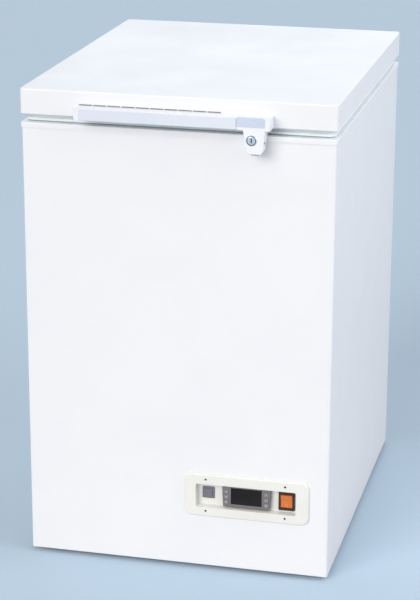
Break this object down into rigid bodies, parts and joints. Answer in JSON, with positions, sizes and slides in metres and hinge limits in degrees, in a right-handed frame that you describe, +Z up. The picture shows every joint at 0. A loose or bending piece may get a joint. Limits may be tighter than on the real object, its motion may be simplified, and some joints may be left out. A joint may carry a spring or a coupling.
{
  "type": "ultra low temperature chest freezer",
  "caption": "Small upright-bodied chest freezer for very low temperatures: hinged insulated lid with keyed handle, deep chamber, controls low on the front.",
  "frame": {"origin": "on the floor, in the middle of the footprint of the box that holds the whole freezer", "axes": "+Z up, the front with the handle and controls faces -Y, +X to the right seen from the front"},
  "size_m": [0.55, 0.7362, 0.86],
  "materials": {
    "white_paint": "smooth semi-gloss powder coat",
    "galvanised_steel": "spangled zinc coat",
    "tank_metal": "stucco embossed",
    "breaker_plastic": "satin",
    "liner_plastic": "satin vacuum-formed",
    "insulation": "rigid foam",
    "coil_metal": "drawn",
    "copper": "drawn copper",
    "black_enamel": "gloss enamel",
    "dark_rubber": "matte",
    "seal_rubber": "soft matte",
    "zinc_steel": "bright zinc",
    "spring_steel": "ground",
    "fin_metal": "mill",
    "motor_metal": "cast",
    "black_plastic": "fine texture",
    "handle_white": "moulded gloss",
    "grip_grey": "satin",
    "lock_grey": "satin blue-grey",
    "lock_chrome": "polished",
    "bezel_plastic": "warm white moulded",
    "controller_grey": "fine texture",
    "window_smoke": "smoked",
    "key_grey": "satin",
    "mute_grey": "satin",
    "switch_dark": "moulded",
    "rocker_orange": "translucent lamp rocker",
    "dark_screw": "blackened"
  },
  "bodies": {
    "cabinet": {"cabinet_shell": "white_paint", "back_panel": "white_paint", "rear_grille": "white_paint", "body_screws": "zinc_steel", "base_pan": "galvanised_steel", "feet": "dark_rubber", "machine_deck": "galvanised_steel", "top_rim": "white_paint", "breaker_strip": "breaker_plastic", "inner_tank": "tank_metal", "evaporator_coil": "coil_metal", "cabinet_foam": "insulation", "temperature_probe": "zinc_steel", "port_sleeve": "breaker_plastic", "port_plug": "dark_rubber", "compressor": "black_enamel", "compressor_grommets": "dark_rubber", "terminal_cover": "black_plastic", "condenser_fins": "fin_metal", "condenser_tube": "copper", "fan_shroud": "galvanised_steel", "fan_motor": "motor_metal", "filter_drier": "copper", "discharge_line": "copper", "liquid_line": "copper", "capillary_tube": "copper", "suction_line": "copper", "electrics_box": "galvanised_steel", "power_inlet": "black_plastic", "control_bezel": "bezel_plastic", "panel_screws": "dark_screw", "controller_body": "controller_grey", "display_window": "window_smoke", "button_guide": "mute_grey", "switch_frame": "switch_dark", "hinge_brackets": "zinc_steel", "hinge_pins": "zinc_steel", "hinge_springs": "spring_steel", "lock_keeper": "zinc_steel"},
    "lid": {"lid_skin": "white_paint", "lid_foam": "insulation", "lid_liner": "liner_plastic", "lid_gasket": "seal_rubber", "hinge_leaves": "zinc_steel", "leaf_screws": "zinc_steel", "handle_body": "handle_white", "grip_strip": "grip_grey", "lock_housing": "handle_white", "lock_block": "lock_grey"},
    "lock": {"lock_barrel": "lock_chrome", "lock_cam": "zinc_steel"},
    "mute": {"mute_button": "mute_grey"},
    "power": {"power_rocker": "rocker_orange"},
    "fan": {"fan_blades": "black_plastic"},
    "key_left_top": {"key_left_top": "key_grey"},
    "key_left_middle": {"key_left_middle": "key_grey"},
    "key_left_bottom": {"key_left_bottom": "key_grey"},
    "key_right_top": {"key_right_top": "key_grey"},
    "key_right_middle": {"key_right_middle": "key_grey"},
    "key_right_bottom": {"key_right_bottom": "key_grey"}
  },
  "joints": [
    {"name": "lid_hinge", "type": "hinge", "parent": "cabinet", "child": "lid", "pos_m": [0, 0.3581, 0.8085], "axis": [-1, 0, 0], "range_deg": [0, 85]},
    {"name": "lock_turn", "type": "hinge", "parent": "lid", "child": "lock", "pos_m": [0.136, -0.3669, 0.7991], "axis": [0, -1, 0], "range_deg": [0, 90]},
    {"name": "mute_press", "type": "slide", "parent": "cabinet", "child": "mute", "axis": [0, 1, 0], "range_m": [0, 0.0015], "stiffness_N_per_m": 500, "springref_m": -0.001},
    {"name": "power_rock", "type": "hinge", "parent": "cabinet", "child": "power", "pos_m": [0.1975, -0.3264, 0.1442], "axis": [-1, 0, 0], "range_deg": [0, 14]},
    {"name": "fan_spin", "type": "hinge", "parent": "cabinet", "child": "fan", "pos_m": [0.132, 0.2711, 0.1265], "axis": [0, 1, 0], "continuous": true},
    {"name": "key_left_top_press", "type": "slide", "parent": "cabinet", "child": "key_left_top", "axis": [0, 1, 0], "range_m": [0, 0.0006], "stiffness_N_per_m": 800, "springref_m": -0.0005},
    {"name": "key_left_middle_press", "type": "slide", "parent": "cabinet", "child": "key_left_middle", "axis": [0, 1, 0], "range_m": [0, 0.0006], "stiffness_N_per_m": 800, "springref_m": -0.0005},
    {"name": "key_left_bottom_press", "type": "slide", "parent": "cabinet", "child": "key_left_bottom", "axis": [0, 1, 0], "range_m": [0, 0.0006], "stiffness_N_per_m": 800, "springref_m": -0.0005},
    {"name": "key_right_top_press", "type": "slide", "parent": "cabinet", "child": "key_right_top", "axis": [0, 1, 0], "range_m": [0, 0.0006], "stiffness_N_per_m": 800, "springref_m": -0.0005},
    {"name": "key_right_middle_press", "type": "slide", "parent": "cabinet", "child": "key_right_middle", "axis": [0, 1, 0], "range_m": [0, 0.0006], "stiffness_N_per_m": 800, "springref_m": -0.0005},
    {"name": "key_right_bottom_press", "type": "slide", "parent": "cabinet", "child": "key_right_bottom", "axis": [0, 1, 0], "range_m": [0, 0.0006], "stiffness_N_per_m": 800, "springref_m": -0.0005}
  ]
}
